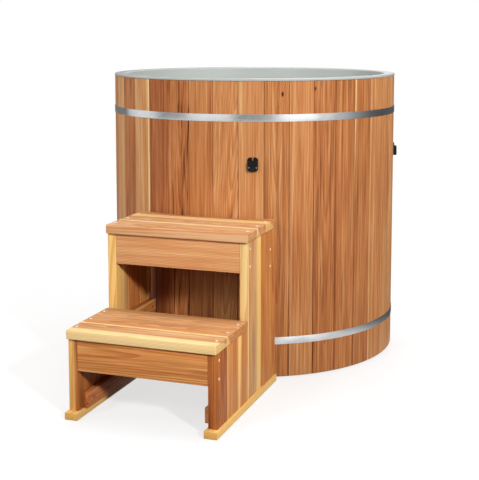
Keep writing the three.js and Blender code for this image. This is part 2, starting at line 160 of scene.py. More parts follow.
def place(name, bm, material, body, slot, *nodes, sharp=35):
    mesh = bpy.data.meshes.new(name)
    bmesh.ops.recalc_face_normals(bm, faces=bm.faces)
    bm.to_mesh(mesh)
    bm.free()
    mesh.materials.append(material)
    mesh.shade_smooth()
    mesh.set_sharp_from_angle(angle=math.radians(sharp))
    piece = bpy.data.objects.new(name, mesh)
    bpy.context.scene.collection.objects.link(piece)
    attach(piece, body)
    if nodes:
        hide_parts(*nodes)
    return piece


def aroundBarrel(angle):
    return Matrix.Rotation(angle, 4, "Z")


# Material helpers

def newMaterial(name):
    material = bpy.data.materials.new(name)
    material.use_nodes = True
    tree = material.node_tree
    shader = tree.nodes["Principled BSDF"]

    def make(kind, inputs=None, **settings):
        node = tree.nodes.new("ShaderNode" + kind)
        for key, value in settings.items():
            setattr(node, key, value)
        for key, value in (inputs or {}).items():
            join(value, node.inputs[key])
        return node

    def join(value, socket):
        if isinstance(value, bpy.types.NodeSocket):
            tree.links.new(value, socket)
        else:
            socket.default_value = value

    return material, shader, make, join


def calc(make, operation, first, second=0.0):
    return make("Math", {0: first, 1: second}, operation=operation).outputs[0]


def eased(make, value, start, end, low=0.0, high=1.0):
    node = make("MapRange", {"Value": value, "From Min": start, "From Max": end, "To Min": low, "To Max": high},
                interpolation_type="SMOOTHSTEP")
    return node.outputs["Result"]


def speckle(make, vector, scale, detail=2.0, roughness=0.5):
    stretched = make("VectorMath", {0: vector, 1: scale}, operation="MULTIPLY").outputs[0]
    return make("TexNoise", {"Vector": stretched, "Scale": 1.0, "Detail": detail, "Roughness": roughness}).outputs["Fac"]


def blended(make, factor, first, second, mode="MIX"):
    node = make("Mix", data_type="RGBA", blend_type=mode)
    tree = node.id_data
    for value, socket in ((factor, node.inputs[0]), (first, node.inputs[6]), (second, node.inputs[7])):
        if isinstance(value, bpy.types.NodeSocket):
            tree.links.new(value, socket)
        else:
            socket.default_value = value
    return node.outputs[2]


def ramp(make, value, *stops):
    node = make("ValToRGB", {"Fac": value})
    band = node.color_ramp
    for number, (position, colour) in enumerate(stops):
        stop = band.elements[number] if number < 2 else band.elements.new(position)
        stop.position = position
        stop.color = colour
    return node.outputs["Color"]


# Cedar: growth rings round a pith line, read from each board's own grain attribute
cedar = {
    "tones": [
        (0.0, paint(226, 176, 126)),
        (0.25, paint(208, 146, 94)),
        (0.5, paint(189, 120, 71)),
        (0.75, paint(163, 95, 54)),
        (1.0, paint(124, 66, 38)),
    ],
    "sapwood": paint(244, 208, 146),
    "sapwoodLine": paint(208, 152, 82),
    "lateWood": (0.56, 0.40, 0.30, 1),
    "endGrain": (0.88, 0.78, 0.66, 1),
    "vein": paint(98, 50, 27),
    "knot": paint(66, 34, 30),
    "waver": 0.015,
    "bandScale": 70.0,
    "bandWeight": 0.55,
    "streakWeight": 0.85,
    "fibreWeight": 0.55,
    "patchWeight": 0.60,
    "lateWeight": 0.52,
    "roughness": (0.44, 0.62),
}


def cedarMaterial():
    material, shader, make, join = newMaterial("cedar_boards")
    grain = make("Attribute", attribute_name="grain").outputs["Vector"]
    tint = make("Attribute", attribute_name="tint")
    sapPlanes = make("SeparateXYZ", {0: make("Attribute", attribute_name="sap").outputs["Vector"]}).outputs
    sap = calc(make, "MAXIMUM", calc(make, "MAXIMUM", sapPlanes[0], sapPlanes[1]), sapPlanes[2])
    look = make("SeparateXYZ", {0: make("Attribute", attribute_name="look").outputs["Vector"]})
    tone, veined, ringWidth = look.outputs
    knot = make("SeparateXYZ", {0: make("Attribute", attribute_name="knot").outputs["Vector"]})

    def centred(value, weight=1.0):
        return calc(make, "MULTIPLY", calc(make, "SUBTRACT", value, 0.5), weight)

    def total(first, *others):
        for other in others:
            first = calc(make, "ADD", first, other)
        return first

    # how many knot sizes away from the knot, which is longer along the grain
    oval = make("CombineXYZ", {"X": knot.outputs["X"], "Y": calc(make, "MULTIPLY", knot.outputs["Y"], 0.5)}).outputs[0]
    knotAway = make("VectorMath", {0: oval}, operation="LENGTH").outputs["Value"]
    knotAway = calc(make, "DIVIDE", knotAway, knot.outputs["Z"])
    swirl = calc(make, "MULTIPLY", eased(make, knotAway, 6.0, 0.5), calc(make, "MULTIPLY", knot.outputs["Z"], 1.5))

    parts = make("SeparateXYZ", {0: grain})
    across = make("CombineXYZ", {"X": parts.outputs["X"], "Y": parts.outputs["Z"]}).outputs[0]
    fromPith = make("VectorMath", {0: across}, operation="LENGTH").outputs["Value"]
    wander = centred(speckle(make, grain, (7, 1.5, 7), 1.5), cedar["waver"])
    ripple = centred(speckle(make, grain, (60, 9, 60), 2), 0.002)
    radius = total(fromPith, wander, ripple, swirl)

    ring = calc(make, "FRACT", calc(make, "DIVIDE", radius, ringWidth))
    late = calc(make, "MULTIPLY", eased(make, ring, 0.40, 0.90), eased(make, ring, 1.0, 0.94))
    band = make("TexNoise", {"W": calc(make, "MULTIPLY", radius, cedar["bandScale"]), "Scale": 1.0, "Detail": 3.0},
                noise_dimensions="1D").outputs["Fac"]
    streak = speckle(make, grain, (150, 1.8, 150), 2, 0.6)
    fibre = speckle(make, grain, (420, 7, 420), 3, 0.6)
    patch = speckle(make, grain, (22, 2.2, 22), 2)

    figure = total(centred(band, cedar["bandWeight"]), centred(streak, cedar["streakWeight"]),
                   centred(patch, cedar["patchWeight"]))
    shade = total(tone, calc(make, "MULTIPLY", figure, tint.outputs["Alpha"]), centred(fibre, cedar["fibreWeight"]))
    wood = ramp(make, shade, *cedar["tones"])
    wood = blended(make, calc(make, "MULTIPLY", late, cedar["lateWeight"]), wood, cedar["lateWood"], "MULTIPLY")
    veins = calc(make, "MULTIPLY", eased(make, speckle(make, grain, (85, 3.2, 85), 2), 0.53, 0.66), veined)
    wood = blended(make, veins, wood, cedar["vein"])

    pale = ramp(make, total(calc(make, "MULTIPLY", late, 0.40), calc(make, "MULTIPLY", streak, 0.60)),
                (0.15, cedar["sapwood"]), (0.95, cedar["sapwoodLine"]))
    ragged = total(centred(speckle(make, grain, (34, 2.5, 34), 3, 0.6), 0.006), centred(streak, 0.004))
    inSap = eased(make, calc(make, "ADD", sap, ragged), -0.002, 0.002)
    wood = blended(make, inSap, wood, pale)
    ends = make("Attribute", attribute_name="end_grain").outputs["Fac"]
    wood = blended(make, ends, wood, cedar["endGrain"], "MULTIPLY")
    wood = blended(make, 1.0, wood, tint.outputs["Color"], "MULTIPLY")
    wood = blended(make, eased(make, knotAway, 1.25, 0.7), wood, cedar["knot"])

    join(wood, shader.inputs["Base Color"])
    join(eased(make, fibre, 0.25, 0.75, *cedar["roughness"]), shader.inputs["Roughness"])
    shader.inputs["Specular IOR Level"].default_value = 0.14
    relief = total(calc(make, "MULTIPLY", late, -0.5), fibre)
    join(make("Bump", {"Strength": 0.22, "Distance": 0.0006, "Height": relief}).outputs[0], shader.inputs["Normal"])
    return material


# Deck boards under the liner, which carry no attribute of their own
def deckMaterial():
    material, shader, make, join = newMaterial("cedar_deck")
    where = make("TexCoord").outputs["Object"]
    fibre = speckle(make, where, (4, 300, 300), 3)
    board = speckle(make, where, (0.6, 11, 0.6), 0)
    shade = calc(make, "ADD", calc(make, "MULTIPLY", fibre, 0.6), calc(make, "MULTIPLY", board, 0.5))
    join(ramp(make, shade, *cedar["tones"]), shader.inputs["Base Color"])
    join(eased(make, fibre, 0.2, 0.8, 0.55, 0.75), shader.inputs["Roughness"])
    join(make("Bump", {"Strength": 0.3, "Distance": 0.0006, "Height": fibre}).outputs[0], shader.inputs["Normal"])
    return material


# Rolled stainless strip, brushed along its length so that its highlights spread up and down
steelLook = {"dark": paint(182, 184, 184), "light": paint(212, 214, 214), "roughness": (0.26, 0.36), "brushed": 0.8}


def steelMaterial():
    material, shader, make, join = newMaterial("brushed_steel")
    where = make("TexCoord").outputs["Object"]
    brush = speckle(make, where, (5, 5, 1500), 3, 0.6)
    cloud = speckle(make, where, (11, 11, 24), 3, 0.6)
    mixed = calc(make, "ADD", calc(make, "MULTIPLY", brush, 0.35), calc(make, "MULTIPLY", cloud, 0.65))
    join(ramp(make, mixed, (0.32, steelLook["dark"]), (0.68, steelLook["light"])), shader.inputs["Base Color"])
    shader.inputs["Metallic"].default_value = 1.0
    join(eased(make, mixed, 0.32, 0.68, *steelLook["roughness"]), shader.inputs["Roughness"])
    join(make("Bump", {"Strength": 0.02, "Distance": 0.0002, "Height": brush}).outputs[0], shader.inputs["Normal"])
    shader.inputs["Anisotropic"].default_value = steelLook["brushed"]
    shader.inputs["Anisotropic Rotation"].default_value = 0.25
    join(make("VectorMath", {0: upAxis, 1: where}, operation="CROSS_PRODUCT").outputs[0], shader.inputs["Tangent"])
    return material


# Bolts, screws and locks: metal with a worn, slightly cloudy surface
def boltMaterial(name, dark, light, metallic, roughness):
    material, shader, make, join = newMaterial(name)
    where = make("TexCoord").outputs["Object"]
    wear = speckle(make, where, (400, 400, 400), 3)
    join(ramp(make, wear, (0.3, dark), (0.7, light)), shader.inputs["Base Color"])
    shader.inputs["Metallic"].default_value = metallic
    join(eased(make, wear, 0.3, 0.7, *roughness), shader.inputs["Roughness"])
    return material


# Moulded plastic with a fine orange-peel texture
def plasticMaterial(name, dark, light, roughness, peel, strength, gloss=0.4):
    material, shader, make, join = newMaterial(name)
    where = make("TexCoord").outputs["Object"]
    cloud = speckle(make, where, (9, 9, 9), 3)
    join(ramp(make, cloud, (0.3, dark), (0.7, light)), shader.inputs["Base Color"])
    join(eased(make, cloud, 0.3, 0.7, *roughness), shader.inputs["Roughness"])
    shader.inputs["Specular IOR Level"].default_value = gloss
    pores = speckle(make, where, (peel, peel, peel), 2)
    join(make("Bump", {"Strength": strength, "Distance": 0.0004, "Height": pores}).outputs[0], shader.inputs["Normal"])
    return material


# The liner is one even colour
linerLook = {"colour": paint(175, 179, 175), "roughness": 0.26, "gloss": 0.4, "peel": 700, "strength": 0.03}


def linerMaterial():
    material, shader, make, join = newMaterial("liner_plastic")
    shader.inputs["Base Color"].default_value = linerLook["colour"]
    shader.inputs["Roughness"].default_value = linerLook["roughness"]
    shader.inputs["Specular IOR Level"].default_value = linerLook["gloss"]
    pores = speckle(make, make("TexCoord").outputs["Object"], [linerLook["peel"]] * 3, 2)
    bump = make("Bump", {"Strength": linerLook["strength"], "Distance": 0.0004, "Height": pores})
    join(bump.outputs[0], shader.inputs["Normal"])
    return material


def foamMaterial():
    material, shader, make, join = newMaterial("rigid_foam")
    where = make("TexCoord").outputs["Object"]
    cells = make("TexVoronoi", {"Vector": where, "Scale": 420.0}).outputs["Distance"]
    join(ramp(make, cells, (0.1, paint(214, 200, 160)), (0.7, paint(238, 228, 196))), shader.inputs["Base Color"])
    shader.inputs["Roughness"].default_value = 0.9
    join(make("Bump", {"Strength": 0.4, "Distance": 0.001, "Height": cells}).outputs[0], shader.inputs["Normal"])
    return material


cedarBoards = cedarMaterial()
cedarDeck = deckMaterial()
brushedSteel = steelMaterial()
platedSteel = boltMaterial("plated_steel", paint(186, 188, 190), paint(228, 229, 230), 1.0, (0.22, 0.4))
screwZinc = boltMaterial("zinc_screws", paint(232, 232, 230), paint(250, 250, 249), 0.25, (0.35, 0.5))
lockBlack = boltMaterial("blackened_lock", paint(38, 39, 41), paint(62, 63, 66), 0.9, (0.25, 0.4))
linerPlastic = linerMaterial()
blackPlastic = plasticMaterial("black_plastic", paint(12, 12, 13), paint(19, 19, 20), (0.36, 0.5), 1600, 0.2, 0.2)
pipePlastic = plasticMaterial("pipe_plastic", paint(208, 208, 203), paint(222, 222, 217), (0.38, 0.5), 1200, 0.08)
rigidFoam = foamMaterial()
print("materials made:", len(bpy.data.materials))


# Board grain: where the tree's pith lay from the board's middle and how it leans along the board.
# Sapwood lies past up to three planes of (across, deep, edge, taper), with taper left out where the edge is
# straight, and a knot is (across, along, size).
boardDefaults = {"tone": 0.5, "tint": (1, 1, 1), "figure": 1.0, "veined": 0.3, "rings": 0.0046,
                 "pith": (0.03, -0.07), "lean": (0.004, 0.012), "sap": (), "knot": (9, 9, 0.001)}
noSapwood = -1.0


def grainOn(piece, look, seed, toBoard, alongAxis):
    look = {**boardDefaults, **look}
    start = random.Random(seed).uniform(0, 60)
    (pithAcross, pithDeep), (leanAcross, leanDeep) = look["pith"], look["lean"]
    knotAcross, knotAlong, knotSize = look["knot"]
    grain, tones, tints, sapwood, knots = [], [], [], [], []
    for vert in piece.data.vertices:
        across, along, deep = toBoard(vert.co)
        grain += (across - pithAcross - leanAcross * along, along + start, deep - pithDeep - leanDeep * along)
        tones += (look["tone"], look["veined"], look["rings"])
        tints += (*look["tint"], look["figure"])
        sides = [(*side, 0)[:4] for side in look["sap"]]
        planes = [across * a + deep * d + along * taper - edge for a, d, edge, taper in sides]
        sapwood += planes + [noSapwood] * (3 - len(planes))
        knots += (across - knotAcross, along - knotAlong, knotSize)
    attributes = piece.data.attributes
    attributes.new("grain", "FLOAT_VECTOR", "POINT").data.foreach_set("vector", grain)
    attributes.new("look", "FLOAT_VECTOR", "POINT").data.foreach_set("vector", tones)
    attributes.new("tint", "FLOAT_COLOR", "POINT").data.foreach_set("color", tints)
    attributes.new("sap", "FLOAT_VECTOR", "POINT").data.foreach_set("vector", sapwood)
    attributes.new("knot", "FLOAT_VECTOR", "POINT").data.foreach_set("vector", knots)
    ends = [float(abs(face.normal[alongAxis]) > 0.8) for face in piece.data.polygons]
    attributes.new("end_grain", "FLOAT", "FACE").data.foreach_set("value", ends)


def board(name, blank, look, seed, middle, axes, body, slot, *nodes):
    piece = place(name, blank, cedarBoards, body, slot, *nodes)
    acrossAxis, alongAxis, deepAxis = ("xyz".index(letter) for letter in axes)

    def toBoard(point):
        offset = point - middle
        return offset[acrossAxis], offset[alongAxis], offset[deepAxis]

    grainOn(piece, look, seed, toBoard, alongAxis)
    return piece


# Staves, numbered round from the one that carries the front clip
barrel = {
    "staveCount": 38,
    "outerRadius": 0.530,
    "wall": 0.022,
    "seamGap": 0.0008,
    "edgeRound": 0.0034,
    "grooveDepth": 0.008,
    "arcSteps": 6,
    "pipeHole": 0.0183,
    "seamTurn": -1.3,
    "backStave": 17,
    "tint": (0.94, 0.985, 0.99),
}
mauve, yellowish, reddish = (0.98, 0.95, 1.02), (1.0, 1.03, 0.95), (1.0, 0.93, 0.88)
golden, orange, creamy = (0.94, 0.88, 0.68), (1.0, 0.92, 0.70), (1.0, 1.06, 1.16)
staveLooks = {
    -7: {"tone": 0.12, "veined": 0.2, "pith": (0.1, -0.05)},
    -6: {"tone": 0.48, "veined": 0.6, "tint": mauve, "pith": (0.14, -0.03)},
    -5: {"tone": 0.2, "veined": 0.1, "sap": [(1, 0, 0.0365)], "pith": (-0.12, -0.03)},
    -4: {"tone": 0.66, "veined": 0.3, "tint": mauve, "pith": (0.12, -0.03)},
    -3: {"tone": 0.60, "veined": 1.0, "pith": (0.006, -0.05), "lean": (0.008, 0.03)},
    -2: {"tone": 0.53, "veined": 0.25, "pith": (-0.16, -0.04)},
    -1: {"tone": 0.36, "veined": 0.05, "pith": (-0.012, -0.045), "lean": (0.05, 0.035)},
    0: {"tone": 0.36, "veined": 0.05, "pith": (0.14, -0.03)},
    1: {"tone": 0.52, "veined": 0.4, "pith": (0.004, -0.04), "lean": (-0.006, 0.014), "knot": (0.019, 0.975, 0.0042)},
    2: {"tone": 0.38, "veined": 0.1, "pith": (-0.1, -0.05), "sap": [(-1, 0, 0.0425)]},
    3: {"tone": 0.58, "veined": 0.45, "pith": (0.003, -0.05), "lean": (0.004, 0.014), "knot": (-0.039, 0.992, 0.003)},
    4: {"tone": 0.60, "veined": 0.35, "pith": (0.15, -0.02)},
    5: {"tone": 0.54, "veined": 0.3, "pith": (0.12, -0.03), "sap": [(-1, 0, 0.0498, 0.011)]},
    6: {"tone": 0.42, "veined": 0.1, "sap": [(-1, 0, 0.0425)], "pith": (0.16, -0.02)},
    7: {"tone": 0.34, "veined": 0.15},
    8: {"tone": 0.30, "veined": 0.1},
    9: {"tone": 0.24, "veined": 0.1, "tint": (1.0, 1.04, 1.1), "pith": (0.12, -0.03)},
    10: {"tone": 0.06, "veined": 0.05, "tint": creamy, "pith": (0.12, -0.03)},
}
stavePitch = math.tau / barrel["staveCount"]


# Angles round the barrel run from the front towards +X
def staveAngle(number):
    return math.pi + (number - barrel["backStave"]) * stavePitch + math.radians(barrel["seamTurn"])


def staveBlank(angle):
    outer = barrel["outerRadius"]
    inner = outer - barrel["wall"]
    groove = inner + barrel["grooveDepth"]
    bottom, top = (corner.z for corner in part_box("stave_panel_01"))
    deckLow, deckHigh = (corner.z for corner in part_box("floor_deck"))
    gap = barrel["seamGap"]
    bm = outlineFace([(inner, bottom), (outer, bottom), (outer, top), (inner, top), (inner, deckHigh + gap),
                      (groove, deckHigh + gap), (groove, deckLow - gap), (inner, deckLow - gap)])
    width = stavePitch - gap / outer
    bmesh.ops.rotate(bm, cent=origin, matrix=Matrix.Rotation(angle - width / 2 - math.pi / 2, 3, "Z"), verts=bm.verts)
    bmesh.ops.spin(bm, geom=bm.verts[:] + bm.edges[:] + bm.faces[:], cent=origin, axis=upAxis,
                   angle=width, steps=barrel["arcSteps"])
    bmesh.ops.recalc_face_normals(bm, faces=bm.faces)

    def outside(element):
        return all(v.co.xy.length > outer - 1e-5 for v in element.verts)

    rim = [e for e in bm.edges if outside(e) and sum(outside(f) for f in e.link_faces) == 1]
    return rounded(bm, rim, barrel["edgeRound"], 3)


def randomStaveLook(number):
    draw = random.Random(500 + number)
    side = draw.choice((-1, 1))
    edges = [(side, 0, 0.036)] if draw.random() < 0.15 else []
    pith = (draw.uniform(-0.02, 0.02), draw.uniform(-0.07, -0.04)) if draw.random() < 0.5 else (side * 0.14, -0.03)
    knot = (draw.uniform(-0.03, 0.03), draw.uniform(0.1, 0.9), draw.uniform(0.002, 0.005))
    look = {"tone": draw.uniform(0.34, 0.7), "tint": draw.choice((mauve, yellowish, reddish, (1, 1, 1))),
            "veined": draw.uniform(0.05, 0.5), "rings": draw.uniform(0.0034, 0.0056), "pith": pith,
            "lean": (draw.uniform(-0.01, 0.01), draw.uniform(-0.03, 0.03)), "sap": edges}
    return {**look, "knot": knot} if draw.random() < 0.3 else look


def buildStaves():
    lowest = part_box("stave_panel_01")[0].z
    for number in range(-19, 19):
        angle = staveAngle(number)
        panel = (number - barrel["backStave"]) % barrel["staveCount"] // 2 + 1
        blank = staveBlank(angle)
        if number == barrel["backStave"]:
            hole = cylinder(barrel["pipeHole"], 0, barrel["outerRadius"] * 2, 32)
            pipeLevel = joints["valve_turn"]["pos_m"][2]
            moved(hole, Matrix.Rotation(-math.pi / 2, 4, "X"), Matrix.Translation((0, 0, pipeLevel)))
            blank = carved(blank, hole)

        def toBoard(point, angle=angle):
            turn = math.atan2(point.x, -point.y) - angle
            turn = (turn + math.pi) % math.tau - math.pi
            return turn * barrel["outerRadius"], point.z - lowest, point.xy.length - barrel["outerRadius"]

        piece = place(f"stave_{number + 20:02d}", blank, cedarBoards, "tub", "cedar", f"stave_panel_{panel:02d}")
        look = staveLooks.get(number) or randomStaveLook(number)
        tint = [own * shared for own, shared in zip(look.get("tint", (1, 1, 1)), barrel["tint"])]
        grainOn(piece, {**look, "tint": tint}, 100 + number, toBoard, 2)


buildStaves()
print("staves standing:", barrel["staveCount"])


# Hoops: flat strip with eased edges
hoop = {"thickness": 0.0015, "edgeRound": 0.0004, "steps": 190}


def buildHoop(spot, node):
    low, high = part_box(node)
    outer, inner = high.x, high.x - hoop["thickness"]
    edges = {corner: (hoop["edgeRound"], 2) for corner in range(4)}
    bm = turned([(inner, low.z), (outer, low.z), (outer, high.z), (inner, high.z)], hoop["steps"], edges)
    place(f"{spot}_hoop_band", bm, brushedSteel, "tub", "hoop_steel", node)


buildHoop("upper", "upper_hoop")
buildHoop("lower", "lower_hoop")


# Closing bolt of a hoop: two bent lugs riveted to the strip, drawn together by a bolt
lug = {
    "plate": 0.0025, "plateEnd": 0.042, "ear": 0.004, "earFace": 0.008, "earHeight": 0.024, "edgeRound": 0.0008,
    "boltRise": 0.015, "boltRadius": 0.004, "boltTail": 0.030, "headRadius": 0.007, "headDepth": 0.0055,
    "washer": 0.0085, "rivets": (0.022, 0.034), "rivetRadius": 0.0036, "stave": -16,
}


def lugBlank(radius, width, side):
    near, far = lug["earFace"], lug["plateEnd"]
    top = radius + lug["earHeight"]
    bend = near + lug["ear"]
    bm = outlineFace([(near, radius), (far, radius), (far, radius + lug["plate"]), (bend, radius + lug["plate"]),
                      (bend, top), (near, top)], {3: (0.003, 4), 0: (0.003, 4)})
    pushedOut(bm, (0, width, 0))
    bmesh.ops.translate(bm, vec=(0, -width / 2, 0), verts=bm.verts)
    rounded(bm, [e for e in bm.edges if len(e.link_faces) == 2 and e.calc_face_angle(0) > 1.2], lug["edgeRound"])
    if side < 0:
        bmesh.ops.mirror(bm, geom=bm.verts[:] + bm.edges[:] + bm.faces[:], axis="X", merge_dist=-1)
        bmesh.ops.delete(bm, geom=[v for v in bm.verts if v.co.x > 0], context="VERTS")
    return bm


def boltBlank(radius):
    rise = radius + lug["boltRise"]
    outerFace = lug["earFace"] + lug["ear"]
    shank = cylinder(lug["boltRadius"], -outerFace - 0.002, lug["boltTail"], 20)
    rounded(shank, [e for e in shank.edges if all(v.co.z > lug["boltTail"] - 1e-6 for v in e.verts)], 0.0008)
    washers = [cylinder(lug["washer"], outerFace, outerFace + 0.0015, 24),
               cylinder(lug["washer"], -outerFace - 0.0015, -outerFace, 24)]
    hexes = [cylinder(lug["headRadius"], outerFace + 0.0015, outerFace + 0.0015 + lug["headDepth"], 6),
             cylinder(lug["headRadius"], -outerFace - 0.0015 - lug["headDepth"], -outerFace - 0.0015, 6)]
    for hexed in hexes:
        rounded(hexed, hexed.edges[:], 0.0006)
    whole = gathered(shank, *washers, *hexes)
    return moved(whole, Matrix.Rotation(math.pi / 2, 4, "Y"), Matrix.Translation((0, 0, rise)))


def buildHoopClamp(spot):
    low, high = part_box(f"{spot}_hoop")
    radius = high.x + 0.0003
    width = high.z - low.z
    rivets = []
    for side in (-1, 1):
        for offset in lug["rivets"]:
            dome = bmesh.new()
            bmesh.ops.create_uvsphere(dome, u_segments=16, v_segments=8, radius=lug["rivetRadius"])
            rivets.append(moved(dome, Matrix.Diagonal((1, 1, 0.45, 1)),
                                Matrix.Translation((side * offset, 0, radius + lug["plate"]))))
    shapes = gathered(lugBlank(radius, width, 1), lugBlank(radius, width, -1), boltBlank(radius), *rivets)
    moved(shapes, Matrix.Rotation(math.pi / 2, 4, "X"), Matrix.Translation((0, 0, (low.z + high.z) / 2)),
          aroundBarrel(staveAngle(lug["stave"])))
    place(f"{spot}_hoop_bolt", shapes, platedSteel, "tub", "hoop_steel", f"{spot}_hoop_clamp")


buildHoopClamp("upper")
buildHoopClamp("lower")
print("hoops closed: 2")


# Moulded liner: rim over the stave tops, drafted wall, rounded floor corner and a drain hole
liner = {"wall": 0.005, "rim": 0.008, "rimWidth": 0.039, "draft": 0.012, "fillet": 0.060, "lipRound": 0.0026,
         "innerRound": 0.006, "steps": 190, "drainHole": 0.0193}


def buildLiner():
    low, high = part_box("liner")
    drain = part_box("drain_fitting")
    rim = high.x
    opening = rim - liner["rimWidth"]
    foot = opening - liner["draft"]
    wall = liner["wall"]
    floor = low.z + wall
    under = high.z - liner["rim"]
    bm = turned(
        [(0, low.z), (foot + wall, low.z), (opening + wall, under), (rim, under), (rim, high.z), (opening, high.z),
         (foot, floor), (0, floor)], liner["steps"],
        {1: (liner["fillet"] + wall, 8), 2: (0.003, 3), 3: (0.0012, 2), 4: (liner["lipRound"], 4),
         5: (liner["innerRound"], 6), 6: (liner["fillet"], 10)})
    middle = (drain[0] + drain[1]) / 2
    hole = moved(cylinder(liner["drainHole"], low.z - 0.01, floor + 0.01, 40), Matrix.Translation((0, middle.y, 0)))
    place("liner_shell", carved(bm, hole), linerPlastic, "tub", "liner_grey", "liner")


buildLiner()


# Cover clips: a thick black body with a strap slot and a key lock, on a thin plate with a notch above it
clip = {"width": 0.036, "height": 0.047, "bodyHeight": 0.0355, "depth": 0.0125, "plate": 0.0035, "corner": 0.009,
        "edge": 0.0022, "plateEdge": 0.001, "notch": 0.0055, "notchDepth": 0.011, "slot": (0.018, 0.0065, 0.018),
        "lockBore": 0.0048, "boreFloor": 0.0042, "ringGroove": (0.0062, 0.0072, 0.0005), "lockRise": 0.010,
        "screwRise": 0.0135, "screwReach": 0.013, "screwRadius": 0.0021, "past": 0.01}


def clipSlab(height, depth, edge):
    half = clip["width"] / 2
    bm = outlineFace([(-half, 0), (half, 0), (half, height), (-half, height)],
                     {corner: (clip["corner"], 6) for corner in range(4)})
    pushedOut(bm, (0, -depth, 0))
    return rounded(bm, [e for e in bm.edges if all(v.co.y < -depth + 1e-6 for v in e.verts)], edge, 4)


def clipBlank():
    tall, deep, past = clip["bodyHeight"], clip["depth"], clip["past"]
    half = clip["notch"] / 2
    foot, top = clip["height"] - clip["notchDepth"], clip["height"] + past
    notch = outlineFace([(-half, foot), (half, foot), (half, top), (-half, top)],
                        {0: (half * 0.98, 6), 1: (half * 0.98, 6)})
    pushedOut(notch, (0, -deep - 2 * past, 0))
    bmesh.ops.translate(notch, vec=(0, past, 0), verts=notch.verts)
    plate = carved(clipSlab(clip["height"], clip["plate"], clip["plateEdge"]), notch)
    slotWide, slotGap, slotDeep = clip["slot"]
    slot = boxBlank(Vector((-slotWide / 2, -clip["plate"] - slotGap, tall - slotDeep)),
                    Vector((slotWide / 2, -clip["plate"], tall + past)))
    atLock = (Matrix.Rotation(math.pi / 2, 4, "X"), Matrix.Translation((0, 0, clip["lockRise"])))
    bore = moved(cylinder(clip["lockBore"], clip["boreFloor"], deep + past, 32), *atLock)
    ringIn, ringOut, ringDeep = clip["ringGroove"]
    groove = moved(turned([(ringIn, deep - ringDeep), (ringOut, deep - ringDeep), (ringOut, deep + past),
                           (ringIn, deep + past)], 32), *atLock)
    return carved(carved(clipSlab(tall, deep, clip["edge"]), plate, operation="UNION"), slot, bore, groove)


# Flush screw head with a socket in it, facing -Y
def screwHead(radius, proud=0.0007):
    bm = cylinder(radius, -0.0006, proud, 20)
    rounded(bm, [e for e in bm.edges if all(v.co.z > proud - 1e-6 for v in e.verts)], proud * 0.6)
    top = max(bm.faces, key=lambda f: f.calc_center_median().z)
    bmesh.ops.inset_region(bm, faces=[top], thickness=radius * 0.42)
    bmesh.ops.translate(bm, vec=(0, 0, -proud * 1.3), verts=top.verts)
    return moved(bm, Matrix.Rotation(math.pi / 2, 4, "X"))


lockPlug = {"radius": 0.0045, "length": 0.009, "rim": 0.0006, "keyWide": 0.0012, "keyTall": 0.0055, "keyDeep": 0.003}


def lockBlank():
    bm = cylinder(lockPlug["radius"], 0, lockPlug["length"], 32)
    rounded(bm, [e for e in bm.edges if all(v.co.z > lockPlug["length"] - 1e-6 for v in e.verts)], lockPlug["rim"], 3)
    key = boxBlank(Vector((-lockPlug["keyWide"] / 2, -lockPlug["keyTall"] / 2, lockPlug["length"] - lockPlug["keyDeep"])),
                   Vector((lockPlug["keyWide"] / 2, lockPlug["keyTall"] / 2, lockPlug["length"] + 0.01)))
    return moved(carved(bm, key), Matrix.Rotation(math.pi / 2, 4, "X"))


def buildClips():
    for side in ("front", "right", "back", "left"):
        joint = joints[f"lock_{side}_turn"]
        axis = Vector(joint["axis"])
        turn = aroundBarrel(math.atan2(axis.x, -axis.y))
        lockLow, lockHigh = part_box(f"clip_lock_{side}")
        lockLevel = (lockLow.z + lockHigh.z) / 2
        seat = -barrel["outerRadius"] - 0.0003
        at = Matrix.Translation((0, seat, lockLevel - clip["lockRise"]))
        place(f"clip_{side}_body", moved(clipBlank(), at, turn), blackPlastic, "tub", "black_plastic",
              f"cover_clip_{side}")
        face = seat - clip["depth"]
        plug = moved(lockBlank(), Matrix.Translation((0, face - 0.001 + lockPlug["length"], lockLevel)), turn)
        place(f"clip_{side}_lock", plug, lockBlack, f"lock_{side}", "lock_steel", f"clip_lock_{side}")
        heads = [moved(screwHead(clip["screwRadius"]),
                       Matrix.Translation((x, face, lockLevel - clip["lockRise"] + clip["screwRise"])))
                 for x in (-clip["screwReach"], clip["screwReach"])]
        place(f"clip_{side}_screws", moved(gathered(*heads), turn), platedSteel, "tub", "lock_steel")


buildClips()
print("cover clips screwed on: 4")


# Drain: floor fitting, and a ball valve with its lever behind the barrel
drain = {"bore": 0.014, "tail": 0.019, "flange": 0.034, "flangeThickness": 0.004, "steps": 48}
valve = {"bore": 0.012, "socket": 0.024, "socketLength": 0.017, "housing": 0.0238, "outlet": 0.018,
         "outletLength": 0.022, "pipeFit": 0.0183, "neck": 0.010, "neckRise": 0.034, "stem": 0.006, "ball": 0.016,
         "ballGap": 0.0008, "collar": 0.0205, "steps": 48}
lever = {"heel": 0.009, "length": 0.070, "width": 0.016, "thickness": 0.006, "corner": 0.0075, "edge": 0.0018,
         "cap": 0.0075}


def buildDrainFitting():
    low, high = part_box("drain_fitting")
    middle = (low + high) / 2
    under = high.z - drain["flangeThickness"]
    bm = turned([(drain["bore"], low.z), (drain["tail"], low.z), (drain["tail"], under), (drain["flange"], under),
                 (drain["flange"], high.z), (drain["bore"], high.z)], drain["steps"],
                {4: (0.0025, 4), 5: (0.002, 3), 0: (0.001, 2)})
    moved(bm, Matrix.Translation((0, middle.y, 0)))
    place("floor_drain_flange", bm, pipePlastic, "tub", "pipe_plastic", "drain_fitting")


